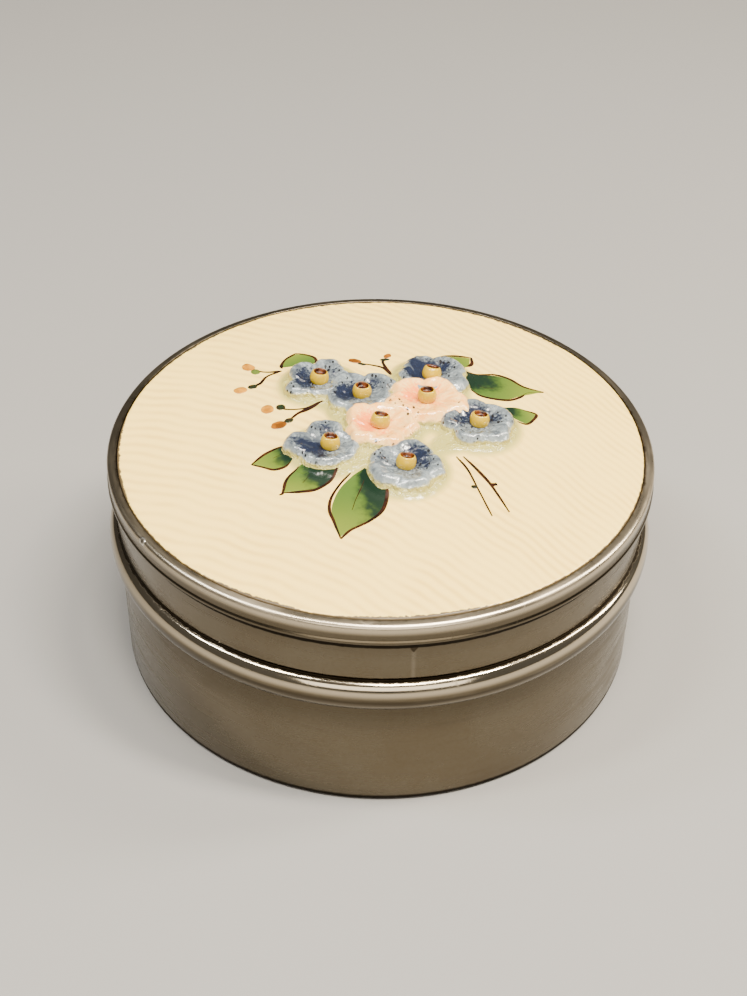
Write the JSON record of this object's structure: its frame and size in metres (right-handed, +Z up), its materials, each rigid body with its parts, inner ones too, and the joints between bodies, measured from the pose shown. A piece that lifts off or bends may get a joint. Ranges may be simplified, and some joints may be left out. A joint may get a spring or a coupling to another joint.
{
  "type": "table box",
  "caption": "Round silver table box with a lift-off lid; raised enamel flowers on a cream enamel top over engine-turned waves.",
  "frame": {"origin": "centre of the flat underside", "axes": "+Z up through the lid; -Y is the side of the box nearest to the viewer of the posy"},
  "size_m": [0.0802, 0.0802, 0.0384],
  "materials": {
    "silver": "polished silver, worn to a soft shine on the flat rim",
    "cream_enamel": "glossy translucent enamel over engine-turned waves",
    "blue_enamel": "glossy mottled enamel",
    "pink_enamel": "glossy translucent enamel, shaded salmon",
    "yellow_enamel": "glossy enamel with a brown hollow"
  },
  "bodies": {
    "root": {"box_base": "silver", "mouth_moulding": "silver", "lid": "silver", "enamel_top": "cream_enamel", "flower_pink_1": "pink_enamel", "flower_pink_2": "pink_enamel", "flower_blue_1": "blue_enamel", "flower_blue_2": "blue_enamel", "flower_blue_3": "blue_enamel", "flower_blue_4": "blue_enamel", "flower_blue_5": "blue_enamel", "flower_blue_6": "blue_enamel", "centre_pink_1": "yellow_enamel", "centre_pink_2": "yellow_enamel", "centre_blue_1": "yellow_enamel", "centre_blue_2": "yellow_enamel", "centre_blue_3": "yellow_enamel", "centre_blue_4": "yellow_enamel", "centre_blue_5": "yellow_enamel", "centre_blue_6": "yellow_enamel"}
  },
  "joints": []
}
